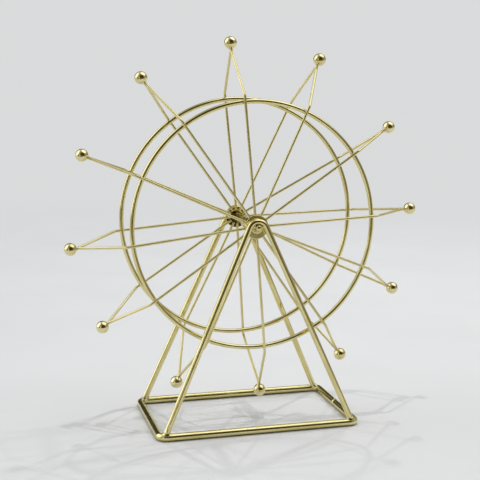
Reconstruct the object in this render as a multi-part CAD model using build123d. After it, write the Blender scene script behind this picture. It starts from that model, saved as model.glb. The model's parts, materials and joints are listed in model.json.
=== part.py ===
from build123d import *
import math
import os

# Table ornament: a wire wheel with ball-tipped arms that turns on a fixed axle, which hangs
# under the bends of two A-frames standing on a rectangular wire base.
# Millimetres, +Z up. The origin is on the table under the middle of the base. The axle
# runs along Y, and the front of the ornament faces -Y.

# ---- Wires ----
rail_wire = 5.0              # base ring
leg_wire = 4.0               # A-frames
ring_wire = 3.2              # wheel rings
spoke_wire = 1.8             # spokes
axle_wire = 4.0              # axle

# ---- Stand ----
base_length = 135.5          # along X, between wire centres
base_depth = 80.0            # along Y, between wire centres
base_corner_radius = 5.0     # of the wire's centre line
foot_inset = 3.0             # leg foot to the centre line of the side rail
bend_inner_radius = 4.3      # inside of the A-frame's top bend
axle_overhang = 1.0          # axle end past the A-frame wire
axle_end_round = 0.9         # rounding of the axle's ends
table_clearance = 12.5       # table to a ball at the bottom of its turn

# ---- Wheel ----
ring_radius = 82.0           # centre line of both rings
ring_spacing = 45.0          # between the rings' centre planes
ball_circle_radius = 120.0   # axle to ball centres
ball_diameter = 8.5
spoke_bend_offset = 4.0      # ring centre line to the spoke's bend
spoke_bend_radius = 3.0      # centre line of that bend
disc_diameter = 16.0
disc_thickness = 1.2
disc_edge_round = 0.3
tube_wall = 1.0              # hub tube
tube_proud = 0.3             # hub tube past the disc's outer face

# ---- Arms ----
arm_count = 12
first_arm_angle = -5.0       # degrees clockwise from straight up, seen from the front
# Hand assembly leaves every arm a few degrees off its even place. Degrees clockwise of
# (front spoke at its ring, rear spoke at its ring, ball), from the top arm on.
arm_leans = [
    (-0.5, -1.0, -0.5),
    (-0.5, 1.0, 0.0),
    (0.5, 7.0, 3.5),
    (2.0, 3.5, 2.5),
    (-3.5, 1.5, 0.5),
    (-0.5, 0.5, -0.5),
    (0.5, 1.5, 0.0),
    (-1.5, 1.5, -1.0),
    (0.5, 1.5, 0.5),
    (-2.0, 0.0, -2.0),
    (-1.0, -1.5, -2.0),
    (-0.5, -0.5, -1.5),
]

# ---- Fits and welds ----
running_clearance = 0.05     # axle to hub tube, on the radius
end_play = 0.5               # hub tube to A-frame wire, at each end
weld_sink = 0.2              # depth that a welded spoke sinks into a ring or disc
spoke_side_gap = 0.2         # least gap between neighbouring spokes at the hub
neck_length = 1.2            # weld neck between the spoke tips and the ball
neck_base_radius = 1.5
neck_tip_radius = 1.1
foot_weld_height = 1.3       # weld collar above the rail, along the leg
foot_weld_drop = 1.2         # weld collar down the rail's sides
foot_weld_spread = 0.4       # foot of the collar, past the leg's surface
weld_edge = 0.1              # thickness at a collar's upper edge
bend_weld_radius = 0.9       # weld beads between axle and bend
bend_weld_angle = 70.0       # of a bead round the axle, in degrees from its top
trim_allowance = 3.0         # length that a wire runs on before it is trimmed

# ---- Places that follow from the above ----
FRONT = -1                   # side of the ornament, as the sign of Y
REAR = 1
LEFT = -1                    # hand, as the sign of X
RIGHT = 1
rail_z = rail_wire / 2
foot_x = base_length / 2 - foot_inset
past_bend = max(base_corner_radius - foot_inset, 0)    # of the foot, along X
foot_y = base_depth / 2 - base_corner_radius + math.sqrt(base_corner_radius**2 - past_bend**2)
ball_radius = ball_diameter / 2
axle_height = table_clearance + ball_radius + ball_circle_radius
spoke_y = (ring_spacing + ring_wire + spoke_wire) / 2 - weld_sink
disc_inner_y = spoke_y + spoke_wire / 2 - weld_sink
disc_outer_y = disc_inner_y + disc_thickness
tube_end_y = disc_outer_y + tube_proud
tube_bore_radius = axle_wire / 2 + running_clearance
tube_outer_radius = tube_bore_radius + tube_wall
bend_y = tube_end_y + end_play + leg_wire / 2
bend_radius = bend_inner_radius + leg_wire / 2
bend_drop = bend_inner_radius - axle_wire / 2
axle_end_y = bend_y + leg_wire / 2 + axle_overhang
ball_seat_radius = ball_circle_radius - ball_radius
neck_radius = ball_seat_radius - neck_length


def arm_angles(column):
    """Angle of every arm, with the hand-made lean in one column of arm_leans."""
    leans = [arm_leans[arm % len(arm_leans)][column] for arm in range(arm_count)]
    return [first_arm_angle + 360.0 * arm / arm_count + lean for arm, lean in enumerate(leans)]


def tightest_step(angles):
    """Least angle between two neighbours, the last and the first among them."""
    return min(after - before for before, after in zip(angles, angles[1:] + [angles[0] + 360.0]))


spoke_angles = {FRONT: arm_angles(0), REAR: arm_angles(1)}
ball_angles = arm_angles(2)
half_step = math.radians(min(tightest_step(angles) for angles in spoke_angles.values()) / 2)
spoke_start_radius = (spoke_wire + spoke_side_gap) / 2 / math.sin(half_step)


def outward(angle):
    """Unit vector from the axle towards an arm."""
    return Vector(math.sin(math.radians(angle)), 0, math.cos(math.radians(angle)))


def wheel_point(angle, radius, y):
    """Point at an arm's angle, at a radius from the axle and a place along it."""
    return Vector(0, y, axle_height) + outward(angle) * radius


def along_axle(y):
    """Plane across the axle at y, facing +Y."""
    return Plane(origin=(0, y, axle_height), x_dir=(1, 0, 0), z_dir=(0, 1, 0))


def round_wire(path, diameter):
    """Wire of round section along a path."""
    section = Plane(origin=path @ 0, z_dir=path % 0) * Circle(diameter / 2)
    return sweep(section, path=path)


# ---- Stand ----
def base_ring():
    """One rod bent to a rectangle with round corners, its ends butt-welded."""
    outline = Pos(0, 0, rail_z) * RectangleRounded(base_length, base_depth, base_corner_radius)
    return round_wire(outline.wire(), rail_wire)


def axle():
    """Straight rod along Y with rounded ends, hung under both bends."""
    rod = along_axle(0) * Cylinder(axle_wire / 2, 2 * axle_end_y)
    return fillet(rod.edges().filter_by(GeomType.CIRCLE), axle_end_round)


def foot_point(side, hand):
    """Where the centre lines of a leg and of the rail under it meet."""
    return Vector(hand * foot_x, side * foot_y, rail_z)


def frame_apex(side):
    """Where the centre lines of the two legs would cross, above their bend."""
    lean = math.atan2(foot_y - bend_y, axle_height - rail_z)
    foot_fall = (axle_height - rail_z) / math.cos(lean) - bend_drop
    spread = math.acos(bend_radius / math.hypot(foot_x, foot_fall)) - math.atan2(foot_fall, foot_x)
    rise = bend_radius / math.sin(spread) - bend_drop
    return Vector(0, side * (bend_y - rise * math.sin(lean)), axle_height + rise * math.cos(lean))


def a_frame(side, ring, rod):
    """One rod bent over the axle, with both feet coped to sit on the base ring."""
    corners = [foot_point(side, LEFT), frame_apex(side), foot_point(side, RIGHT)]
    return round_wire(FilletPolyline(*corners, radius=bend_radius), leg_wire) - ring - rod


def foot_weld(side, hand, ring, frame):
    """Weld collar round one foot, on top of the rail."""
    foot = foot_point(side, hand)
    up_leg = (frame_apex(side) - foot).normalized()
    rail_top = rail_wire / 2 / up_leg.Z
    collar = Cone(
        leg_wire / 2 + foot_weld_spread,
        leg_wire / 2 + weld_edge,
        foot_weld_height + foot_weld_drop,
        align=(Align.CENTER, Align.CENTER, Align.MIN),
    )
    start = foot + up_leg * (rail_top - foot_weld_drop)
    return Plane(origin=start, z_dir=up_leg) * collar - ring - frame


def bend_weld(side, hand, rod, frame):
    """Weld bead in the crevice between the axle and one flank of the bend."""
    angle = math.radians(bend_weld_angle)
    reach = math.sqrt(bend_inner_radius**2 - (bend_drop * math.sin(angle)) ** 2)
    middle = (axle_wire / 2 + reach - bend_drop * math.cos(angle)) / 2
    centre = wheel_point(hand * bend_weld_angle, middle, side * bend_y)
    return Pos(*centre) * Sphere(bend_weld_radius) - rod - frame


# ---- Wheel ----
def hub_tube():
    """Tube that joins both discs and turns on the axle."""
    length = 2 * tube_end_y
    return along_axle(0) * (Cylinder(tube_outer_radius, length) - Cylinder(tube_bore_radius, length))


def hub_disc(side):
    """Stamped washer on the hub tube; the spokes are welded to its inner face."""
    middle = side * (disc_inner_y + disc_outer_y) / 2
    blank = Cylinder(disc_diameter / 2, disc_thickness)
    washer = fillet(blank.edges(), disc_edge_round) - Cylinder(tube_outer_radius, disc_thickness)
    return along_axle(middle) * washer


def wheel_ring(side):
    """One rod rolled to a hoop, its ends butt-welded."""
    return along_axle(side * ring_spacing / 2) * Torus(ring_radius, ring_wire / 2)


def spoke(side, arm, ring, disc):
    """Wire that runs radially over the ring, then bends in to meet its twin at the ball."""
    ring_angle = spoke_angles[side][arm]
    ball_angle = ball_angles[arm]
    start = wheel_point(ring_angle, spoke_start_radius, side * spoke_y)
    bend = wheel_point(ring_angle, ring_radius + spoke_bend_offset, side * spoke_y)
    meeting = wheel_point(ball_angle, ball_seat_radius, 0)
    end = meeting + (meeting - bend).normalized() * trim_allowance
    wire = round_wire(FilletPolyline(start, bend, end, radius=spoke_bend_radius), spoke_wire)
    mitre = Plane(origin=meeting, z_dir=(0, -side, 0))
    seat = Plane(origin=wheel_point(ball_angle, neck_radius, 0), z_dir=outward(ball_angle))
    wire = split(wire, bisect_by=mitre, keep=Keep.BOTTOM)
    wire = split(wire, bisect_by=seat, keep=Keep.BOTTOM)
    return wire - ring - disc


def ball(arm):
    """Ball at the tip of an arm, its seam turned away from the weld neck."""
    angle = ball_angles[arm]
    centre = wheel_point(angle, ball_circle_radius, 0)
    return Plane(origin=centre, x_dir=outward(angle), z_dir=(0, 1, 0)) * Sphere(ball_radius)


def ball_neck(arm, bead):
    """Weld neck from the tips of both spokes to the ball."""
    base = wheel_point(ball_angles[arm], neck_radius, 0)
    neck = Cone(
        neck_base_radius,
        neck_tip_radius,
        ball_circle_radius - neck_radius,
        align=(Align.CENTER, Align.CENTER, Align.MIN),
    )
    return Plane(origin=base, z_dir=outward(ball_angles[arm])) * neck - bead


# ---- Assembly ----
def solids_of(shapes):
    """All solids of several shapes, as one group."""
    return Compound(children=[solid for shape in shapes for solid in shape.solids()])


def stand():
    """Every piece of the stand, by name."""
    ring = base_ring()
    rod = axle()
    pieces = {"base_ring": ring, "axle": rod}
    beads = []
    for side, word in ((FRONT, "front"), (REAR, "rear")):
        pieces[f"{word}_a_frame"] = frame = a_frame(side, ring, rod)
        for hand, end in ((LEFT, "left"), (RIGHT, "right")):
            pieces[f"{word}_{end}_foot_weld"] = foot_weld(side, hand, ring, frame)
            beads.append(bend_weld(side, hand, rod, frame))
    pieces["bend_welds"] = solids_of(beads)
    return pieces


def wheel():
    """Every piece of the wheel, by name."""
    pieces = {"hub_tube": hub_tube()}
    for side, word in ((FRONT, "front"), (REAR, "rear")):
        pieces[f"{word}_hub_disc"] = disc = hub_disc(side)
        pieces[f"{word}_ring"] = ring = wheel_ring(side)
        for arm in range(arm_count):
            pieces[f"{word}_spoke_{arm + 1:02d}"] = spoke(side, arm, ring, disc)
    balls = [ball(arm) for arm in range(arm_count)]
    for arm, bead in enumerate(balls):
        pieces[f"ball_{arm + 1:02d}"] = bead
    pieces["ball_necks"] = solids_of(ball_neck(arm, bead) for arm, bead in enumerate(balls))
    return pieces


os.makedirs("parts", exist_ok=True)
for name, piece in {**stand(), **wheel()}.items():
    export_step(piece, f"parts/{name}.step")
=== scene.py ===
import json
import math

import bmesh
import bpy
from mathutils import Matrix, Vector, noise


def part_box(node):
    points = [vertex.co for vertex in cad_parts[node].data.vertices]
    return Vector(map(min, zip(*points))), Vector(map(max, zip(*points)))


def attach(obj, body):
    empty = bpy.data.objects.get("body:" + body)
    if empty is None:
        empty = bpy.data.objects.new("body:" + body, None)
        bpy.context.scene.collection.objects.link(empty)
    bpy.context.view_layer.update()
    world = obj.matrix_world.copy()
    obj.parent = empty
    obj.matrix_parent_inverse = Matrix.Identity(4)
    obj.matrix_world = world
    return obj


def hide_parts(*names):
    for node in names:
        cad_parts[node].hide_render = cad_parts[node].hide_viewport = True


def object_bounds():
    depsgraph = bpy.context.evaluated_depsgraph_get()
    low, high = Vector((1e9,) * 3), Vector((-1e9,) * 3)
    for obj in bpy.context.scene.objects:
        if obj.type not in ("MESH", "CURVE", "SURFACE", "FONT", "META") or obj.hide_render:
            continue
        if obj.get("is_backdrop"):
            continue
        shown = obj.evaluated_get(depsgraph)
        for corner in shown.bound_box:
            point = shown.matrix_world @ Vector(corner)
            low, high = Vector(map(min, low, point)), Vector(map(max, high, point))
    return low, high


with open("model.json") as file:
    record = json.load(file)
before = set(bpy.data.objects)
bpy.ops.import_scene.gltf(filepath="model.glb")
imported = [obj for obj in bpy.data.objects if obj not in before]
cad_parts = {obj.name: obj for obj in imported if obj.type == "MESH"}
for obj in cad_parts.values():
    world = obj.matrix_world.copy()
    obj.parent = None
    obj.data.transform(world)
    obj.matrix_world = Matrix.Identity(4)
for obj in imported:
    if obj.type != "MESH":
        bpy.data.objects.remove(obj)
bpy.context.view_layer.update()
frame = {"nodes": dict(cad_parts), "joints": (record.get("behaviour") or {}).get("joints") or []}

hub = Vector(frame["joints"][0]["pos_m"])
X, Y, Z = Vector((1, 0, 0)), Vector((0, 1, 0)), Vector((0, 0, 1))


# ---- Base ring ----------------------------------------------------------------------------
# One thick steel rod bent to a rectangle with tight round corners. Its two ends are butt
# welded on the right-hand side and filed, and the whole rod is plated pale gold.

rail_low, rail_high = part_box("base_ring")
rail_radius = (rail_high.z - rail_low.z) / 2
rail_end_x = rail_high.x - rail_radius
rail_side_y = rail_high.y - rail_radius
rail_corner = 0.005            # bend radius of the centre line
rail_step = 0.0006
rail_sides = 36
rail_seam_y = 0.0021
seam_proud = 0.00035
seam_width = 0.0007
seam_filing = 1.4              # how soon the seam's bead is filed off, outwards and downwards
rail_nick_x = -0.01055         # a small nick in the front of the rod
nick_depth = 0.00012
nick_width = 0.0004
rail_bend_flat = 0.02          # share of the radius that the outside of a bend loses
rail_bend_blend = 0.002
rail_heat_reach = 0.004
bend_step = 0.0008
fewest_bend_steps = 8


def run_to(points, end, step):
    """Adds evenly spaced points on the straight from the last point to the end."""
    start = points[-1]
    steps = max(1, round((end - start).length / step))
    points.extend(start.lerp(end, i / steps) for i in range(1, steps + 1))


def bent_line(corners, bend_radius, step):
    """Centre line of a rod: straights through the corners, with an arc at each inner one."""
    points = [corners[0].copy()]
    for before, corner, after in zip(corners, corners[1:], corners[2:]):
        into = (corner - before).normalized()
        out = (after - corner).normalized()
        turn = into.angle(out)
        run_to(points, corner - into * bend_radius * math.tan(turn / 2), step)
        centre = corner + (out - into).normalized() * bend_radius / math.cos(turn / 2)
        first = points[-1] - centre
        steps = max(fewest_bend_steps, round(turn * bend_radius / bend_step))
        for i in range(1, steps + 1):
            turned = Matrix.Rotation(turn * i / steps, 3, into.cross(out)) @ first
            points.append(centre + turned)
    run_to(points, corners[-1], step)
    return points


def distances_along(line):
    """Distance from the start of a line to each of its points."""
    distances = [0.0]
    for a, b in zip(line, line[1:]):
        distances.append(distances[-1] + (b - a).length)
    return distances


def wire_mesh(line, across, radius, sides, closed=False, end_round=0.0, swell=None):
    """Round rod along a line that lies in one plane, across being square to that plane. U runs
    round the rod and V along it in metres. swell(distance, angle) adds to the radius."""
    mesh = bmesh.new()
    uv = mesh.loops.layers.uv.new("UVMap")
    lengths = distances_along(line)
    total = lengths[-1] + (line[0] - line[-1]).length
    stations = []
    for i, point in enumerate(line):
        before = line[i - 1] if i or closed else point
        after = line[(i + 1) % len(line)] if i + 1 < len(line) or closed else point
        stations.append((point, (after - before).normalized(), lengths[i], 0.0))
    if end_round:
        stations = rounded_ends(stations, end_round)
    rings = []
    for point, tangent, distance, shrink in stations:
        side = tangent.cross(across)
        ring = []
        for k in range(sides):
            angle = 2 * math.pi * k / sides
            reach = radius - shrink + (swell(distance, angle) if swell else 0.0)
            out = across * math.cos(angle) + side * math.sin(angle)
            ring.append(mesh.verts.new(point + out * reach))
        rings.append((ring, distance))
    pairs = list(zip(rings, rings[1:]))
    if closed:
        pairs.append((rings[-1], (rings[0][0], total)))
    for (ring, start), (following, end) in pairs:
        for k in range(sides):
            n = (k + 1) % sides
            face = mesh.faces.new((ring[k], ring[n], following[n], following[k]))
            places = ((k, start), (k + 1, start), (k + 1, end), (k, end))
            for loop, (turn, distance) in zip(face.loops, places):
                loop[uv].uv = (turn / sides, distance)
    if not closed:
        for ring, distance in (rings[0], rings[-1]):
            middle = mesh.verts.new(sum((v.co for v in ring), Vector()) / sides)
            for k in range(sides):
                face = mesh.faces.new((ring[k], ring[(k + 1) % sides], middle))
                for loop, turn in zip(face.loops, (k, k + 1, k + 0.5)):
                    loop[uv].uv = (turn / sides, distance)
    bmesh.ops.recalc_face_normals(mesh, faces=mesh.faces)
    return mesh


def rounded_ends(stations, size, steps=4):
    """The same stations with a quarter-round edge worked on each cut end."""
    kept = [s for s in stations if size < s[2] < stations[-1][2] - size]
    edges = []
    for (point, tangent, distance, _), way in ((stations[0], 1), (stations[-1], -1)):
        edge = []
        for i in range(steps + 1):
            turn = math.pi / 2 * i / steps
            inset = way * size * (1 - math.cos(turn))
            shrink = size * (1 - math.sin(turn))
            edge.append((point + tangent * inset, tangent, distance + inset, shrink))
        edges.append(edge)
    return edges[0] + kept + edges[1][::-1]


def finished(name, mesh, material):
    """Object of a finished mesh, smooth shaded, in the scene."""
    data = bpy.data.meshes.new(name)
    mesh.to_mesh(data)
    mesh.free()
    data.polygons.foreach_set("use_smooth", [True] * len(data.polygons))
    data.materials.append(material)
    piece = bpy.data.objects.new(name, data)
    bpy.context.scene.collection.objects.link(piece)
    return piece


def mark_heat_and_shade(piece, spots, reach):
    """Writes how near each vertex lies to the spots: 1 at one, and 0 a few reaches away. Near welds this
    browns the plating as heat tint; round the hub's bore the browning is painted shade.
    """
    values = []
    for vertex in piece.data.vertices:
        nearest = min((vertex.co - spot).length for spot in spots)
        values.append(math.exp(-((nearest / reach) ** 2)))
    piece.data.attributes.new("heat", "FLOAT", "POINT").data.foreach_set("value", values)


def put(tree, kind, settings, values):
    """Adds a node. Each value is a plain one or another node's output socket."""
    made = tree.nodes.new(kind)
    for key, setting in settings.items():
        setattr(made, key, setting)
    for key, value in values.items():
        if isinstance(value, bpy.types.NodeSocket):
            tree.links.new(value, made.inputs[key])
        else:
            made.inputs[key].default_value = value
    return made


def maths(tree, operation, *values):
    """Output of a Math node."""
    made = put(tree, "ShaderNodeMath", {"operation": operation}, dict(enumerate(values)))
    return made.outputs[0]


def mixed(tree, share, first, second):
    """Output of a colour mix, first at 0 and second at 1."""
    made = put(tree, "ShaderNodeMix", {"data_type": "RGBA"}, {0: share, 6: first, 7: second})
    return made.outputs[2]


def ramped(tree, value, low, high, to_low=0.0, to_high=1.0):
    """Output of a Map Range node, smooth between its ends."""
    values = {0: value, 1: low, 2: high, 3: to_low, 4: to_high}
    made = put(tree, "ShaderNodeMapRange", {"interpolation_type": "SMOOTHSTEP"}, values)
    return made.outputs[0]


def clouded(tree, place, scale, detail=3.0, roughness=0.55, distortion=0.0):
    """Value output of a Noise node at a place."""
    values = {"Vector": place, "Scale": scale, "Detail": detail}
    values.update({"Roughness": roughness, "Distortion": distortion})
    return put(tree, "ShaderNodeTexNoise", {}, values).outputs[0]


def new_group(name, takes, gives):
    """Empty shader node group with its named sockets, and its two end nodes."""
    tree = bpy.data.node_groups.new(name, "ShaderNodeTree")
    for socket, kind in takes:
        tree.interface.new_socket(socket, in_out="INPUT", socket_type=kind)
    for socket, kind in gives:
        tree.interface.new_socket(socket, in_out="OUTPUT", socket_type=kind)
    return tree, tree.nodes.new("NodeGroupInput").outputs, tree.nodes.new("NodeGroupOutput").inputs


fine_patches = 11.0            # fine clouds of tone across one broad cloud
fine_share = 0.15              # of the tone that the fine clouds make
cloud_contrast = (0.34, 0.66)
stain_patches = 25.0
stain_contrast = (0.3, 0.7)
stain_least = 0.3


def build_plating_tone():
    """Plated gold close up: clouds of paler and deeper gold, browned round the welds, and darkened round
    the hub's bore as painted shade.
    """
    takes = [(name, "NodeSocketColor") for name in ("Pale", "Deep", "BrownedAndShaded")]
    takes += [(name, "NodeSocketFloat") for name in ("Patches", "BrowningAndShade")]
    gives = [("Color", "NodeSocketColor"), ("Clouds", "NodeSocketFloat"), ("ScorchAndShade", "NodeSocketFloat")]
    tree, given, out = new_group("plating_tone", takes, gives)
    place = tree.nodes.new("ShaderNodeTexCoord").outputs["Object"]
    broad = clouded(tree, place, given["Patches"])
    fine = clouded(tree, place, maths(tree, "MULTIPLY", given["Patches"], fine_patches))
    both = maths(tree, "MULTIPLY", broad, 1 - fine_share)
    both = maths(tree, "MULTIPLY_ADD", fine, fine_share, both)
    clouds = ramped(tree, both, *cloud_contrast)
    gold = mixed(tree, clouds, given["Pale"], given["Deep"])
    # This mark is weld heat tint, and on the hub painted shade round the bore.
    heat = put(tree, "ShaderNodeAttribute", {"attribute_name": "heat"}, {}).outputs["Fac"]
    ragged = clouded(tree, place, maths(tree, "MULTIPLY", given["Patches"], stain_patches))
    ragged = ramped(tree, ragged, *stain_contrast, stain_least, 1.0)
    scorch_and_shade = maths(tree, "MULTIPLY", maths(tree, "MULTIPLY", heat, ragged), given["BrowningAndShade"])
    tree.links.new(mixed(tree, scorch_and_shade, gold, given["BrownedAndShaded"]), out["Color"])
    tree.links.new(clouds, out["Clouds"])
    tree.links.new(scorch_and_shade, out["ScorchAndShade"])
    return tree


def build_drawn_lines():
    """Fine die lines that a drawn rod keeps, round the rod from U and along it from V."""
    takes = [("Fineness", "NodeSocketFloat"), ("Along", "NodeSocketFloat")]
    tree, given, out = new_group("drawn_lines", takes, [("Lines", "NodeSocketFloat")])
    uv = tree.nodes.new("ShaderNodeUVMap").outputs["UV"]
    parts = put(tree, "ShaderNodeSeparateXYZ", {}, {0: uv}).outputs
    turn = maths(tree, "MULTIPLY", parts["X"], 2 * math.pi)
    over = maths(tree, "MULTIPLY", maths(tree, "COSINE", turn), given["Fineness"])
    round_it = maths(tree, "MULTIPLY", maths(tree, "SINE", turn), given["Fineness"])
    along = maths(tree, "MULTIPLY", parts["Y"], given["Along"])
    place = put(tree, "ShaderNodeCombineXYZ", {}, {0: over, 1: round_it, 2: along}).outputs[0]
    tree.links.new(clouded(tree, place, 1.0, detail=2.0, roughness=0.5), out["Lines"])
    return tree


scratch_width = 0.012          # as a step of the noise whose middle level a scratch follows
scratch_spacing = 0.7
scratch_gaps = (0.5, 0.6)
smudge_scale = 0.35
smudge_edge = (0.4, 0.65)
pit_scale = 3.0
pit_edge = (0.06, 0.16)


def build_handling_marks():
    """What handling leaves on plating: hairline scratches, soft smudges and tiny pits."""
    gives = [(name, "NodeSocketFloat") for name in ("Scratches", "Smudges", "Pits")]
    tree, given, out = new_group("handling_marks", [("Scale", "NodeSocketFloat")], gives)
    place = tree.nodes.new("ShaderNodeTexCoord").outputs["Object"]
    wander = clouded(tree, place, given["Scale"], detail=2.0, roughness=0.5, distortion=1.5)
    off_line = maths(tree, "ABSOLUTE", maths(tree, "SUBTRACT", wander, 0.5))
    thin = ramped(tree, off_line, 0.0, scratch_width, 1.0, 0.0)
    here = clouded(tree, place, maths(tree, "MULTIPLY", given["Scale"], scratch_spacing))
    here = ramped(tree, here, *scratch_gaps)
    tree.links.new(maths(tree, "MULTIPLY", thin, here), out["Scratches"])
    broad = maths(tree, "MULTIPLY", given["Scale"], smudge_scale)
    smudges = clouded(tree, place, broad, detail=4.0, roughness=0.6, distortion=0.4)
    tree.links.new(ramped(tree, smudges, *smudge_edge), out["Smudges"])
    cells = {"Vector": place, "Scale": maths(tree, "MULTIPLY", given["Scale"], pit_scale)}
    spots = put(tree, "ShaderNodeTexVoronoi", {}, cells).outputs["Distance"]
    tree.links.new(ramped(tree, spots, *pit_edge, 1.0, 0.0), out["Pits"])
    return tree


plating_tone = build_plating_tone()
drawn_lines = build_drawn_lines()
handling_marks = build_handling_marks()

cloud_dulls = 0.3              # how much each of these adds to the dullness
smudge_dulls = 0.5
line_dulls = 0.4
scorch_and_shade_dulls = 0.6
dullest = 1.2                  # the dullness at which the metal is at its roughest
pit_depth = 0.3                # this and the next are shares of the material's relief
scratch_depth = 0.4
marks_to_patch = 3             # how many times finer than its patches its marks and grain are
grain_to_patch = 30


def plated_metal(name, pale, deep, browned_and_shaded, patches, shine, relief, lines=None, browning_and_shade=0.7):
    """Gold-plated metal. patches is how many clouds of tone there are to a metre, shine the
    (least, most) roughness, relief the height of its marks in metres, and lines the
    (fineness, along) of drawn rod, or None on metal that has a fine grain instead."""
    material = bpy.data.materials.new(name)
    material.use_nodes = True
    tree = material.node_tree
    shader = tree.nodes["Principled BSDF"]
    shader.inputs["Metallic"].default_value = 1.0
    values = {"Pale": (*pale, 1), "Deep": (*deep, 1), "BrownedAndShaded": (*browned_and_shaded, 1)}
    values.update({"Patches": patches, "BrowningAndShade": browning_and_shade})
    tone = put(tree, "ShaderNodeGroup", {"node_tree": plating_tone}, values).outputs
    tree.links.new(tone["Color"], shader.inputs["Base Color"])
    values = {"Scale": patches * marks_to_patch}
    marks = put(tree, "ShaderNodeGroup", {"node_tree": handling_marks}, values).outputs
    dull = maths(tree, "MULTIPLY", marks["Smudges"], smudge_dulls)
    dull = maths(tree, "MULTIPLY_ADD", tone["Clouds"], cloud_dulls, dull)
    height = maths(tree, "MULTIPLY", marks["Scratches"], -scratch_depth)
    height = maths(tree, "MULTIPLY_ADD", marks["Pits"], -pit_depth, height)
    if lines:
        values = {"Fineness": lines[0], "Along": lines[1]}
        drawn = put(tree, "ShaderNodeGroup", {"node_tree": drawn_lines}, values).outputs["Lines"]
        dull = maths(tree, "MULTIPLY_ADD", drawn, line_dulls, dull)
        height = maths(tree, "ADD", height, drawn)
    else:
        place = tree.nodes.new("ShaderNodeTexCoord").outputs["Object"]
        height = maths(tree, "ADD", height, clouded(tree, place, patches * grain_to_patch))
    dull = maths(tree, "MULTIPLY_ADD", tone["ScorchAndShade"], scorch_and_shade_dulls, dull)
    tree.links.new(ramped(tree, dull, 0.0, dullest, *shine), shader.inputs["Roughness"])
    bump = put(tree, "ShaderNodeBump", {}, {"Height": height, "Distance": relief, "Strength": 1.0})
    tree.links.new(bump.outputs[0], shader.inputs["Normal"])
    return material


pale_gold = (0.79, 0.715, 0.375)
deep_gold = (0.71, 0.625, 0.285)
browned_and_shaded_gold = (0.32, 0.235, 0.09)
rail_plating = plated_metal(
    "rail_plating", pale_gold, deep_gold, browned_and_shaded_gold,
    patches=60.0, shine=(0.10, 0.22), relief=0.000001, lines=(9.0, 12.0),
)


def rail_line():
    """Centre line of the base ring, from the seam once round."""
    x, y, z = rail_end_x, rail_side_y, rail_low.z + rail_radius
    seam = Vector((x, rail_seam_y, z))
    corners = [Vector((x, y, z)), Vector((-x, y, z)), Vector((-x, -y, z)), Vector((x, -y, z))]
    return bent_line([seam, *corners, seam], rail_corner, rail_step)[:-1]


def rail_shape(line):
    """How the rail's radius changes: a filed weld bead at the seam, flats on its bends, and a
    nick."""
    distances = distances_along(line)
    around = distances[-1] + (line[0] - line[-1]).length
    corner_x = rail_end_x - rail_corner
    corner_y = rail_side_y - rail_corner
    bends = [d for p, d in zip(line, distances) if abs(p.x) > corner_x and abs(p.y) > corner_y]
    nick_point = Vector((rail_nick_x, -rail_side_y, line[0].z))
    nearest = min(range(len(line)), key=lambda i: (line[i] - nick_point).length)
    nick = distances[nearest]

    def swell(distance, angle):
        up = math.cos(angle)
        outward = math.sin(angle)
        filed = seam_filing * (max(outward, 0.0) + max(-up, 0.0))
        away = min(distance, around - distance)
        bead = seam_proud * math.exp(-((away / seam_width) ** 2)) * max(0.0, 1 - filed)
        to_bend = min(abs(distance - b) for b in bends)
        near_bend = math.exp(-((to_bend / rail_bend_blend) ** 2))
        flat = rail_bend_flat * rail_radius * near_bend * max(outward, 0.0) ** 2
        cut = nick_depth * math.exp(-(((distance - nick) / nick_width) ** 2)) * max(outward, 0.0)
        return bead - cut - flat

    return swell


rail_path = rail_line()
rail_mesh = wire_mesh(rail_path, Z, rail_radius, rail_sides, closed=True, swell=rail_shape(rail_path))
rail = finished("base_ring_rod", rail_mesh, rail_plating)
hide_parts("base_ring")
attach(rail, "stand")


# ---- A-frames -----------------------------------------------------------------------------
# Each is one rod bent sharply in the middle and spread to two legs. The feet stand on the
# base ring close to its corners, and the bend hooks over the axle.

leg_radius = 0.002
leg_step = 0.002
leg_sides = 32
foot_inset = 0.003             # foot to the centre line of the side rail
bend_inner_radius = 0.0043
foot_depth = 0.0012            # the rod goes on below the rail's top, inside the weld
foot_flat_length = 0.006       # the front left foot is ground flat on one side
foot_flat_depth = 0.0013       # from the centre line to the flat
foot_flat_angle = math.radians(-50)
least_facing = 0.05            # keeps the flat's distance finite on the sides that it misses
frame_heat_reach = 0.005
frame_plating = plated_metal(
    "frame_plating", pale_gold, deep_gold, browned_and_shaded_gold,
    patches=70.0, shine=(0.10, 0.22), relief=0.000001, lines=(8.0, 12.0),
)


def a_frame_corners(node, side):
    """Left foot, virtual apex and right foot of an A-frame's centre line, and its bend."""
    low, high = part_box(node)
    inner_y = high.y if side < 0 else low.y
    top = Vector((0, inner_y + side * leg_radius, high.z - leg_radius))
    past_bend = rail_corner - foot_inset
    foot_x = rail_end_x - foot_inset
    foot_y = rail_side_y - rail_corner + math.sqrt(rail_corner**2 - past_bend**2)
    middle = Vector((0, side * foot_y, rail_low.z + rail_radius))
    up = (top - middle).normalized()
    bend = bend_inner_radius + leg_radius
    centre_height = (top - middle).length - bend
    spread = math.atan2(foot_x, centre_height) - math.asin(bend / math.hypot(foot_x, centre_height))
    apex = middle + up * (centre_height + bend / math.sin(spread))
    return [middle - X * foot_x, apex, middle + X * foot_x], bend


def leg_start(foot, apex):
    """Where a leg's rod ends, a little inside the rail."""
    way = (apex - foot).normalized()
    return foot + way * (rail_radius / way.z - foot_depth)


def ground(distance, angle):
    """What grinding takes off a rod's radius near its left foot."""
    near = max(0.0, 1 - (distance / foot_flat_length) ** 2)
    facing = max(math.cos(angle - foot_flat_angle), least_facing)
    return (min(leg_radius, foot_flat_depth / facing) - leg_radius) * math.sqrt(near)


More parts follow.
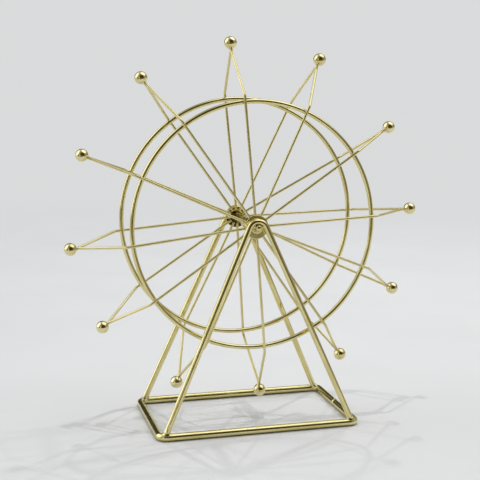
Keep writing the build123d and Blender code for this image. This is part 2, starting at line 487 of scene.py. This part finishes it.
frames = {}
for word, side in (("front", -1), ("rear", 1)):
    (left, apex, right), bend = a_frame_corners(f"{word}_a_frame", side)
    frames[side] = {"left": left, "right": right, "apex": apex}
    across = (right - left).cross(apex - left).normalized()
    path = bent_line([leg_start(left, apex), apex, leg_start(right, apex)], bend, leg_step)
    bend_top = Vector((hub.x, path[len(path) // 2].y, hub.z))
    mesh = wire_mesh(path, across, leg_radius, leg_sides, swell=ground if side < 0 else None)
    rod = finished(f"{word}_a_frame_rod", mesh, frame_plating)
    mark_heat_and_shade(rod, [left, right, bend_top], frame_heat_reach)
    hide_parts(f"{word}_a_frame")
    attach(rod, "stand")
feet = [frames[side][hand] for side in frames for hand in ("left", "right")]
mark_heat_and_shade(rail, feet, rail_heat_reach)


# ---- Foot welds ---------------------------------------------------------------------------
# Fillet of weld metal round each foot, running out on the top and sides of the rail. It is
# plated with the rods, so it is lumpy and a little browned, but not a different metal.

weld_height = 0.0013           # up the leg from the crease between leg and rail
weld_spread = 0.0011           # out from the crease over the rail
weld_sides = 48
weld_steps = 8
weld_unevenness = 0.35
weld_wave_scale = 900          # lumps round the weld, and the finer ones on its face
weld_lump_scale = 1400
weld_lump = 0.00012
weld_toe_fall = 0.35
weld_root_depth = 0.0008       # how far the hidden side lies inside the rail
weld_root_inset = 0.0006       # how far it lies inside the leg
highest_crease = 0.008
foot_heat_reach = 0.003
weld_plating = plated_metal(
    "weld_plating", (0.80, 0.73, 0.41), (0.67, 0.58, 0.27), browned_and_shaded_gold,
    patches=150.0, shine=(0.12, 0.3), relief=0.000006, browning_and_shade=0.3,
)


def above_rail(point):
    """Height of a point over the rail's surface, negative inside the rail."""
    x = abs(point.x) - (rail_end_x - rail_corner)
    y = abs(point.y) - (rail_side_y - rail_corner)
    beside = math.hypot(max(x, 0), max(y, 0)) + min(max(x, y), 0) - rail_corner
    return math.hypot(beside, point.z - rail_low.z - rail_radius) - rail_radius


def onto_rail(point, sink=0.0):
    """The point moved straight to the rail's surface, or to a depth under it."""
    small = 1e-6
    for _ in range(6):
        here = above_rail(point)
        slope = Vector([(above_rail(point + way * small) - here) / small for way in (X, Y, Z)])
        point = point - slope.normalized() * (here + sink)
    return point


def crease_height(edge, up):
    """How far up from the leg's edge at the rail's centre line the leg leaves the rail."""
    low, high = 0.0, highest_crease
    for _ in range(30):
        half = (low + high) / 2
        low, high = (half, high) if above_rail(edge + up * half) < 0 else (low, half)
    return high


def foot_weld_mesh(foot, apex):
    """Closed ring of weld metal: a hollow curve from the leg down to the rail, shut inside."""
    up = (apex - foot).normalized()
    side_way = up.orthogonal().normalized()
    mesh = bmesh.new()
    loops = []
    for k in range(weld_sides):
        out = Matrix.Rotation(2 * math.pi * k / weld_sides, 3, up) @ side_way
        edge = foot + out * leg_radius
        crease = edge + up * crease_height(edge, up)
        lump = 1 + weld_unevenness * noise.noise(crease * weld_wave_scale)
        top = crease + up * weld_height * lump
        toe = onto_rail(crease + (out - Z * weld_toe_fall) * weld_spread * lump)
        curve = []
        for i in range(weld_steps + 1):
            t = i / weld_steps
            point = top.lerp(crease, t).lerp(crease.lerp(toe, t), t)
            rough = 1 + noise.noise(point * weld_lump_scale)
            swell = weld_lump * math.sin(math.pi * t) * rough
            curve.append(point + (out + up).normalized() * swell)
        root = onto_rail(toe - out * weld_spread, weld_root_depth)
        loop = [top - out * weld_root_inset, *curve, root, crease - out * weld_root_inset]
        loops.append([mesh.verts.new(p) for p in loop])
    for k, loop in enumerate(loops):
        following = loops[(k + 1) % weld_sides]
        for i in range(len(loop)):
            n = (i + 1) % len(loop)
            mesh.faces.new((loop[i], loop[n], following[n], following[i]))
    bmesh.ops.recalc_face_normals(mesh, faces=mesh.faces)
    return mesh


for word, side in (("front", -1), ("rear", 1)):
    for hand in ("left", "right"):
        foot = frames[side][hand]
        mesh = foot_weld_mesh(foot, frames[side]["apex"])
        bead = finished(f"{word}_{hand}_foot_fillet", mesh, weld_plating)
        mark_heat_and_shade(bead, [foot + Z * rail_radius], foot_heat_reach)
        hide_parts(f"{word}_{hand}_foot_weld")
        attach(bead, "stand")


# ---- Axle ---------------------------------------------------------------------------------
# Straight steel rod with rounded ends, welded under the bends of both A-frames and plated
# with them. The hub tube turns on it.

axle_low, axle_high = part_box("axle")
axle_radius = (axle_high.x - axle_low.x) / 2
axle_end_round = 0.0014
axle_step = 0.001
axle_sides = 32
axle_plating = plated_metal(
    "axle_plating", (0.79, 0.715, 0.385), (0.68, 0.59, 0.27), browned_and_shaded_gold,
    patches=90.0, shine=(0.14, 0.3), relief=0.000001, lines=(8.0, 30.0),
)
axle_line = [Vector((hub.x, axle_low.y, hub.z))]
run_to(axle_line, Vector((hub.x, axle_high.y, hub.z)), axle_step)
axle_mesh = wire_mesh(axle_line, Z, axle_radius, axle_sides, end_round=axle_end_round)
axle = finished("axle_pin", axle_mesh, axle_plating)
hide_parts("axle")
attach(axle, "stand")


# ---- Bend welds ---------------------------------------------------------------------------
# Two beads of weld metal at each bend, in the crevices left and right of the axle. They hold
# the axle in the A-frames and are plated with them.

bead_angle = math.radians(70)  # from straight up, round the axle
crevice_reach = 0.0034         # from the axle's centre line to the far side of the crevice
bead_reach = (axle_radius + crevice_reach) / 2
bead_size = Vector((0.0012, 0.0018, 0.0014))
bead_inset = 0.0009
bead_lumps = ((1.7, 0.12), (6, 0.03))      # scale and size of the broad lumps and the fine ones
bead_heat_reach = 0.002
axle_heat_reach = 0.0025
bend_low, bend_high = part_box("bend_welds")
bend_y = {-1: bend_low.y + bead_inset, 1: bend_high.y - bead_inset}


def weld_bead(mesh, centre, size, seed):
    """Adds a lumpy drop of weld metal to a mesh."""
    (broad_scale, broad), (fine_scale, fine) = bead_lumps
    added = bmesh.ops.create_icosphere(mesh, subdivisions=4, radius=1.0)["verts"]
    for vertex in added:
        way = vertex.co.normalized()
        lump = 1 + broad * noise.noise(way * broad_scale + Vector((seed, 0, 0)))
        lump += fine * noise.noise(way * fine_scale)
        vertex.co = centre + Vector((way.x * size.x, way.y * size.y, way.z * size.z)) * lump


beads = bmesh.new()
bead_spots = []
for side in (-1, 1):
    for hand in (-1, 1):
        across = hand * math.sin(bead_angle) * bead_reach
        spot = hub + Vector((across, bend_y[side], math.cos(bead_angle) * bead_reach))
        bead_spots.append(spot)
        weld_bead(beads, spot, bead_size, 3 * side + hand)
bend_beads = finished("bend_weld_beads", beads, weld_plating)
mark_heat_and_shade(bend_beads, bead_spots, bead_heat_reach)
mark_heat_and_shade(axle, bead_spots, axle_heat_reach)
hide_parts("bend_welds")
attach(bend_beads, "stand")


# ---- Hub ----------------------------------------------------------------------------------
# A turned tube that runs on the axle, with a stamped washer staked on each end. The spokes
# are welded to the washers' inner faces. Round the bore the plating is darkened brown as
# painted shade.

tube_low, tube_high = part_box("hub_tube")
tube_outer = (tube_high.x - tube_low.x) / 2
running_clearance = 0.00005
tube_bore = axle_radius + running_clearance
tube_chamfer = 0.0002
tube_sides = 48
tube_painted_shade_reach = 0.004
washer_edge = 0.00045          # radius of its rounded edges
washer_edge_steps = 5
washer_face_steps = 10
washer_sides = 72
washer_painted_shade_reach = 0.0052
stake_width = 0.0006
stake_proud = 0.00015
# Its browning sets how dark the painted shade round the bore comes out.
hub_plating = plated_metal(
    "hub_plating", (0.77, 0.69, 0.36), (0.64, 0.545, 0.24), browned_and_shaded_gold,
    patches=110.0, shine=(0.16, 0.34), relief=0.000003, browning_and_shade=1.0,
)


def turned_mesh(profile, origin, axis, sides, closed=False, relief=None):
    """Turned shape. The profile is (along the axis, radius) points, and U runs round the axis.
    relief(angle, radius, along) moves a point along it."""
    mesh = bmesh.new()
    uv = mesh.loops.layers.uv.new("UVMap")
    side_way = axis.orthogonal().normalized()
    lengths = [0.0]
    for a, b in zip(profile, profile[1:]):
        lengths.append(lengths[-1] + math.dist(a, b))
    columns = []
    for k in range(sides):
        angle = 2 * math.pi * k / sides
        out = Matrix.Rotation(angle, 3, axis) @ side_way
        column = []
        for i, (along, radius) in enumerate(profile):
            if relief:
                along += relief(angle, radius, along)
            if radius == 0 and columns:
                column.append(columns[0][i])
            else:
                column.append(mesh.verts.new(origin + axis * along + out * radius))
        columns.append(column)
    for k in range(sides):
        here, following = columns[k], columns[(k + 1) % sides]
        bands = len(profile) if closed else len(profile) - 1
        for i in range(bands):
            n = (i + 1) % len(profile)
            corners = {}
            for column, turn, ends in ((here, k, (i, n)), (following, k + 1, (n, i))):
                for end in ends:
                    corners.setdefault(column[end], (turn / sides, lengths[end]))
            if len(corners) < 3:
                continue
            face = mesh.faces.new(list(corners))
            for loop, spot in zip(face.loops, corners.values()):
                loop[uv].uv = spot
    bmesh.ops.recalc_face_normals(mesh, faces=mesh.faces)
    return mesh


def arc(centre, radius, start, end, steps):
    """Points on an arc of a profile, angles in degrees."""
    turns = [math.radians(start + (end - start) * i / steps) for i in range(steps + 1)]
    return [(centre[0] + radius * math.cos(t), centre[1] + radius * math.sin(t)) for t in turns]


tube_end = tube_high.y
tube_profile = []
for way in (-1, 1):
    face = way * tube_end
    inset = way * (tube_end - tube_chamfer)
    edges = [(inset, tube_bore), (face, tube_bore + tube_chamfer)]
    edges += [(face, tube_outer - tube_chamfer), (inset, tube_outer)]
    tube_profile += edges if way < 0 else edges[::-1]
sleeve_mesh = turned_mesh(tube_profile, Vector((hub.x, 0, hub.z)), Y, tube_sides, closed=True)
sleeve = finished("hub_sleeve", sleeve_mesh, hub_plating)
# Painted shade: browns the sleeve's ends round the bore.
mark_heat_and_shade(sleeve, [hub + Y * tube_end, hub - Y * tube_end], tube_painted_shade_reach)
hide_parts("hub_tube")
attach(sleeve, "wheel")

for word, side in (("front", -1), ("rear", 1)):
    low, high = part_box(f"{word}_hub_disc")
    outer = (high.x - low.x) / 2
    thick = high.y - low.y
    hole = tube_outer
    flat = outer - washer_edge
    face_step = (outer - hole) / washer_face_steps
    profile = [(0.0, hole), (0.0, flat)]
    profile += arc((washer_edge, flat), washer_edge, 180, 90, washer_edge_steps)
    profile += arc((thick - washer_edge, flat), washer_edge, 90, 0, washer_edge_steps)
    profile += [(thick, outer - face_step * i) for i in range(1, washer_face_steps - 1)]
    profile += [(thick + stake_proud, hole + stake_width / 2), (thick + stake_proud, hole)]
    inner_face = Vector((hub.x, high.y if side < 0 else low.y, hub.z))
    washer = turned_mesh(profile, inner_face, Y * side, washer_sides, closed=True)
    disc = finished(f"{word}_hub_washer", washer, hub_plating)
    # Painted shade: browns the washer's inner face round the bore.
    mark_heat_and_shade(disc, [inner_face], washer_painted_shade_reach)
    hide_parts(f"{word}_hub_disc")
    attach(disc, "wheel")


# ---- Wheel rings --------------------------------------------------------------------------
# Two rods rolled to hoops, each closed with a butt weld that is filed almost flush, and
# plated. The spokes are welded over them and hold them.

ring_plating = plated_metal(
    "ring_plating", pale_gold, deep_gold, browned_and_shaded_gold,
    patches=65.0, shine=(0.10, 0.21), relief=0.0000008, lines=(7.0, 10.0),
)
ring_seams = {"front": math.radians(136), "rear": math.radians(205)}      # clockwise from the top
ring_steps = 360
ring_sides = 28
ring_seam_proud = 0.0001
ring_seam_width = 0.0006
rings = {}
for word, side in (("front", -1), ("rear", 1)):
    low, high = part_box(f"{word}_ring")
    wire = (high.y - low.y) / 2
    middle = (high.x - low.x) / 2 - wire
    rings[side] = {"radius": middle, "wire": wire}
    centre = (low + high) / 2
    seam = ring_seams[word]
    turns = [seam + 2 * math.pi * i / ring_steps for i in range(ring_steps)]
    path = [centre + Vector((math.sin(t), 0, math.cos(t))) * middle for t in turns]
    around = 2 * math.pi * middle

    def seam_bead(distance, angle):
        near = math.exp(-((min(distance, around - distance) / ring_seam_width) ** 2))
        return ring_seam_proud / 2 * (near * (1 - abs(math.sin(angle))) - 1)

    hoop_mesh = wire_mesh(path, Y, wire, ring_sides, closed=True, swell=seam_bead)
    hoop = finished(f"{word}_hoop", hoop_mesh, ring_plating)
    rings[side]["hoop"] = hoop
    rings[side]["seam"] = path[0]
    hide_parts(f"{word}_ring")
    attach(hoop, "wheel")


# ---- Spokes -------------------------------------------------------------------------------
# Thin drawn wires with a satin plating. Each is welded to a washer and over a ring, bends
# just outside the ring and leans in to meet its twin from the other ring at a ball.

spoke_radius = 0.0009
spoke_step = 0.0015
spoke_sides = 18
spoke_end_round = 0.0002
spoke_bend_offset = 0.004      # how far beyond its ring a spoke bends
spoke_bend_radius = 0.003
weld_press = 0.00008           # how much the press weld flattens a spoke on its ring
weld_press_length = 0.0016
front_past = 0.0004            # the front wire runs this far past the ball's edge
rear_short = 0.0008            # the rear wire stops this far before it, clear of the front one
spoke_heat_reach = 0.0022
crossing_reach = 1.5           # what counts as over the ring, in radii of its wire
arm_count = sum(name.startswith("ball_") and name != "ball_necks" for name in frame["nodes"])
spoke_plating = plated_metal(
    "spoke_plating", (0.79, 0.715, 0.385), (0.73, 0.645, 0.315), browned_and_shaded_gold,
    patches=80.0, shine=(0.27, 0.37), relief=0.0000004, lines=(6.0, 20.0), browning_and_shade=0.55,
)


def arm_end(arm):
    """Centre and radius of an arm's ball, and the unit vector out from the axle to it."""
    low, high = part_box(f"ball_{arm:02d}")
    centre = (low + high) / 2
    out = Vector((centre.x - hub.x, 0, centre.z - hub.z)).normalized()
    return centre, (high.y - low.y) / 2, out


def straight_run(node, side):
    """Inner end of a spoke's straight run, and its direction, read from where it crosses
    its ring."""
    ring = rings[side]["radius"]
    near = rings[side]["wire"] * crossing_reach
    points = [v.co - hub for v in frame["nodes"][node].data.vertices]
    crossing = [p for p in points if abs(math.hypot(p.x, p.z) - ring) < near]
    middle = sum(crossing, Vector()) / len(crossing)
    out = Vector((middle.x, 0, middle.z)).normalized()
    return min(p.dot(out) for p in points), out


crossings = {-1: [], 1: []}
for arm in range(1, arm_count + 1):
    centre, ball_radius, ball_out = arm_end(arm)
    seat = centre - ball_out * ball_radius
    for word, side in (("front", -1), ("rear", 1)):
        node = f"{word}_spoke_{arm:02d}"
        low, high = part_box(node)
        run_y = low.y + spoke_radius if side < 0 else high.y - spoke_radius
        begin, out = straight_run(node, side)
        level = Vector((hub.x, run_y, hub.z))
        start = level + out * begin
        crossing = level + out * rings[side]["radius"]
        bend = crossing + out * spoke_bend_offset
        way = (seat - bend).normalized()
        end = seat + way * (front_past if side < 0 else -rear_short)
        across = (bend - start).cross(end - bend).normalized()
        path = bent_line([start, bend, end], spoke_bend_radius, spoke_step)
        cross_at = rings[side]["radius"] - begin
        inward = -side * Y
        flat_angle = math.atan2(out.cross(across).dot(inward), across.dot(inward))

        def pressed(distance, angle):
            near = math.exp(-(((distance - cross_at) / weld_press_length) ** 2))
            turn = math.cos(angle - flat_angle)
            return weld_press / 2 * near * (1 - 2 * turn * turn)

        mesh = wire_mesh(path, across, spoke_radius, spoke_sides, end_round=spoke_end_round, swell=pressed)
        wire = finished(f"{word}_spoke_{arm:02d}_wire", mesh, spoke_plating)
        mark_heat_and_shade(wire, [crossing, seat, start], spoke_heat_reach)
        crossings[side].append(crossing)
        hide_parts(node)
        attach(wire, "wheel")
for side in (-1, 1):
    mark_heat_and_shade(rings[side]["hoop"], [*crossings[side], rings[side]["seam"]], spoke_heat_reach)


# ---- Balls and their necks ----------------------------------------------------------------
# Solid balls, tumbled bright before plating, each held to the tips of its two spokes by a
# short neck of weld metal.

ball_plating = plated_metal(
    "ball_plating", (0.82, 0.75, 0.44), (0.70, 0.60, 0.28), browned_and_shaded_gold,
    patches=120.0, shine=(0.05, 0.12), relief=0.0000005,
)
ball_sides = 64
ball_bands = 40
ball_heat_reach = 0.0012
tumble_depth = 0.00001
tumble_scale = 500
tumble_shift = 7.0             # gives each ball a pattern of its own
neck_sides = 24
neck_length = 0.0012
neck_base = 0.00125
neck_waist = 0.00105
neck_waist_at = 0.4            # share of the length that the waist lies from the ball
neck_root = 0.0001             # hollow between the waist and the ball
neck_flare = 0.0015
neck_flare_at = 0.00025        # where it has flared out, inside the ball
neck_round = 0.0004            # edge round the two wires
neck_round_steps = 4
neck_overlap = 0.0012          # its point lies this deep in the ball
neck_heat_reach = 0.0015


def ball_mesh(arm, centre, radius, out):
    """Ball whose poles lie on its arm, a little uneven from tumbling."""
    skin = radius - tumble_depth
    turns = [math.pi * i / ball_bands for i in range(1, ball_bands)]
    profile = [(-skin, 0), *((-skin * math.cos(t), skin * math.sin(t)) for t in turns), (skin, 0)]

    def tumbled(angle, reach, along):
        place = Vector((math.cos(angle) * reach, math.sin(angle) * reach, along)) * tumble_scale
        return tumble_depth * noise.noise(place + Vector((arm * tumble_shift, 0, 0)))

    return turned_mesh(profile, centre, out, ball_sides, relief=tumbled)


def add_neck(mesh, seat, out):
    """Adds a waisted neck from the spoke tips to the ball to a mesh."""
    profile = [(-neck_length - neck_round, 0.0)]
    profile += arc((-neck_length, neck_base - neck_round), neck_round, 180, 90, neck_round_steps)
    profile += [(-neck_length * neck_waist_at, neck_waist), (-neck_root, neck_waist + neck_root)]
    profile += [(neck_flare_at, neck_flare), (neck_overlap / 2, neck_flare), (neck_overlap, 0.0)]
    neck = turned_mesh(profile, seat, out, neck_sides)
    shape = bpy.data.meshes.new("neck_part")
    neck.to_mesh(shape)
    neck.free()
    mesh.from_mesh(shape)
    bpy.data.meshes.remove(shape)


necks = bmesh.new()
seats = []
for arm in range(1, arm_count + 1):
    centre, ball_radius, out = arm_end(arm)
    seat = centre - out * ball_radius
    seats.append(seat)
    ball = finished(f"ball_{arm:02d}_bead", ball_mesh(arm, centre, ball_radius, out), ball_plating)
    mark_heat_and_shade(ball, [seat], ball_heat_reach)
    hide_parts(f"ball_{arm:02d}")
    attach(ball, "wheel")
    add_neck(necks, seat, out)
neck_beads = finished("ball_neck_welds", necks, weld_plating)
mark_heat_and_shade(neck_beads, seats, neck_heat_reach)
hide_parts("ball_necks")
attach(neck_beads, "wheel")


# ---- Floor, light and camera --------------------------------------------------------------
# A pale table top fades into a pale room. The metal mirrors a window on the left, a high one
# on the right, a dark wall behind the camera and a curtain behind the wheel. Small lamps cast
# the shadows, and a narrow one stands beside the camera.

camera_azimuth = math.radians(-15.12)
camera_elevation = math.radians(9.529)
camera_roll = math.radians(0.324)
camera_distance = 0.7263
camera_lens = 79.96            # millimetres, on a sensor 36 wide
camera_target = Vector((-0.00427, 0, 0.12408))

back = Vector((
    math.sin(camera_azimuth) * math.cos(camera_elevation),
    -math.cos(camera_azimuth) * math.cos(camera_elevation),
    math.sin(camera_elevation),
))
to_right = (-back).cross(Z).normalized()
to_top = to_right.cross(-back)
turned_x = to_right * math.cos(camera_roll) + to_top * math.sin(camera_roll)
turned_y = -to_right * math.sin(camera_roll) + to_top * math.cos(camera_roll)
camera = bpy.data.objects.new("camera", bpy.data.cameras.new("camera"))
camera.data.lens = camera_lens
camera.data.sensor_width = 36.0
camera.data.clip_start = 0.01
camera.matrix_world = Matrix.Translation(camera_target + back * camera_distance) @ Matrix(
    (turned_x, turned_y, back)
).transposed().to_4x4()
bpy.context.scene.collection.objects.link(camera)
bpy.context.scene.camera = camera

room_colour = (0.70, 0.705, 0.71, 1)
floor_colour = (0.66, 0.665, 0.67, 1)
floor_patch_colour = (0.64, 0.645, 0.65, 1)
floor_patches = 9.0            # to a metre
floor_patch_contrast = (0.3, 0.7)
floor_size = 30.0
floor_sides = 96
fade_start = 0.45              # how far from the wheel the floor starts to fade into the room
fade_end = 1.3
near_edge = 0.52               # past here, towards the camera, the metal sees a painted dark reflection
near_edge_blend = 0.12
near_painted_reflection_colour = (0.16, 0.14, 0.06, 1)
flat_back = Vector((back.x, back.y, 0)).normalized()

floor_mesh = bmesh.new()
bmesh.ops.create_circle(floor_mesh, cap_ends=True, radius=floor_size, segments=floor_sides)
floor_material = bpy.data.materials.new("table_top")
floor_material.use_nodes = True
tree = floor_material.node_tree
shader = tree.nodes["Principled BSDF"]
place = tree.nodes.new("ShaderNodeTexCoord").outputs["Object"]
patches = ramped(tree, clouded(tree, place, floor_patches, detail=4.0), *floor_patch_contrast)
tree.links.new(mixed(tree, patches, floor_colour, floor_patch_colour), shader.inputs["Base Color"])
shader.inputs["Roughness"].default_value = 0.6
shader.inputs["Specular IOR Level"].default_value = 0.2
rays = tree.nodes.new("ShaderNodeLightPath").outputs
seen = maths(tree, "MAXIMUM", rays["Is Camera Ray"], rays["Is Glossy Ray"])
away = put(tree, "ShaderNodeVectorMath", {"operation": "LENGTH"}, {0: place}).outputs["Value"]
faded = maths(tree, "MULTIPLY", seen, ramped(tree, away, fade_start, fade_end))
glow = put(tree, "ShaderNodeEmission", {}, {"Color": room_colour, "Strength": 1.0}).outputs[0]
surface = put(tree, "ShaderNodeMixShader", {}, {0: faded, 1: shader.outputs[0], 2: glow}).outputs[0]
# Painted reflection: past the near edge, glossy rays see a dark emission on the table top instead of its
# lit surface.
ahead = put(tree, "ShaderNodeVectorMath", {"operation": "DOT_PRODUCT"}, {0: place, 1: flat_back})
beyond = ramped(tree, ahead.outputs["Value"], near_edge, near_edge + near_edge_blend)
beyond = maths(tree, "MULTIPLY", rays["Is Glossy Ray"], beyond)
painted_dark_reflection = put(tree, "ShaderNodeEmission", {}, {"Color": near_painted_reflection_colour, "Strength": 1.0}).outputs[0]
surface = put(tree, "ShaderNodeMixShader", {}, {0: beyond, 1: surface, 2: painted_dark_reflection}).outputs[0]
tree.links.new(surface, tree.nodes["Material Output"].inputs["Surface"])
floor = finished("table_top", floor_mesh, floor_material)
floor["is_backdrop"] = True

low_wall = (0.32, 0.30, 0.25, 1)
ceiling = (0.53, 0.53, 0.50, 1)
dim_ceiling = (0.26, 0.25, 0.17, 1)
left_window = (1.60, 1.62, 1.70, 1)
right_window = (1.70, 1.72, 1.80, 1)
dark_wall = (0.055, 0.045, 0.008, 1)
dim_corner = (0.22, 0.21, 0.10, 1)
curtain_colour = (0.05, 0.05, 0.035, 1)
world = bpy.data.worlds.new("room")
bpy.context.scene.world = world
world.use_nodes = True
tree = world.node_tree
place = tree.nodes.new("ShaderNodeTexCoord").outputs["Generated"]
way = put(tree, "ShaderNodeVectorMath", {"operation": "NORMALIZE"}, {0: place}).outputs[0]
height = put(tree, "ShaderNodeSeparateXYZ", {}, {0: way}).outputs["Z"]


def toward(around, above):
    """Unit vector from the wheel, in degrees from the camera to the picture's right, and up."""
    around = math.radians(around)
    above = math.radians(above)
    level = flat_back * math.cos(around) + to_right * math.sin(around)
    return level * math.cos(above) + Z * math.sin(above)


def region(around, above, reach, core):
    """Mask of the room round a direction: 1 within core degrees of it and 0 past reach."""
    values = {0: way, 1: toward(around, above)}
    dot = put(tree, "ShaderNodeVectorMath", {"operation": "DOT_PRODUCT"}, values).outputs["Value"]
    return ramped(tree, dot, math.cos(math.radians(reach)), math.cos(math.radians(core)))


room = mixed(tree, ramped(tree, height, 0.1, 0.95), low_wall, ceiling)
room = mixed(tree, region(around=4, above=50, reach=46, core=16), room, dim_ceiling)
room = mixed(tree, region(around=-100, above=27, reach=46, core=24), room, left_window)
room = mixed(tree, region(around=104, above=63, reach=39, core=17), room, right_window)
room = mixed(tree, region(around=22, above=20, reach=46, core=24), room, dark_wall)
room = mixed(tree, region(around=-54, above=2, reach=18, core=6), room, dim_corner)
curtain = region(around=-158, above=8, reach=38, core=26)
curtain = maths(tree, "MULTIPLY", curtain, ramped(tree, height, 0.0, 0.05))
room = mixed(tree, curtain, room, curtain_colour)
rays = tree.nodes.new("ShaderNodeLightPath").outputs
mirrored = maths(tree, "MAXIMUM", rays["Is Glossy Ray"], rays["Is Transmission Ray"])
behind = maths(tree, "MULTIPLY", mirrored, region(around=180, above=2, reach=17, core=9))
colour = mixed(tree, maths(tree, "MAXIMUM", rays["Is Camera Ray"], behind), room, room_colour)
tree.links.new(colour, tree.nodes["Background"].inputs["Color"])
tree.nodes["Background"].inputs["Strength"].default_value = 1.0


def lamp(name, direction, distance, wide, tall, power, mirrored=False):
    """Flat lamp that looks at the hub from a direction. Metal shows it only if mirrored."""
    light = bpy.data.lights.new(name, "AREA")
    light.shape = "RECTANGLE"
    light.size = wide
    light.size_y = tall
    light.energy = power
    holder = bpy.data.objects.new(name, light)
    way = direction.normalized()
    holder.location = hub + way * distance
    holder.rotation_mode = "QUATERNION"
    holder.rotation_quaternion = way.to_track_quat("Z", "Y")
    holder.visible_glossy = mirrored
    bpy.context.scene.collection.objects.link(holder)


overhead = Vector((-0.04, -0.04, 1.0))
rear = Vector((0.22, 0.455, 0.86))
right_side = Vector((0.70, 0.18, 0.69))
lamp("overhead_lamp", overhead, distance=1.6, wide=0.02, tall=0.02, power=5.2)
lamp("rear_lamp", rear, distance=1.6, wide=0.04, tall=0.04, power=4.4)
lamp("right_lamp", right_side, distance=1.6, wide=0.05, tall=0.05, power=3.4)
lamp("narrow_lamp", toward(-30, 2), distance=1.2, wide=0.08, tall=0.5, power=0.3, mirrored=True)

bpy.context.scene.view_settings.view_transform = "Standard"

low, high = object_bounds()
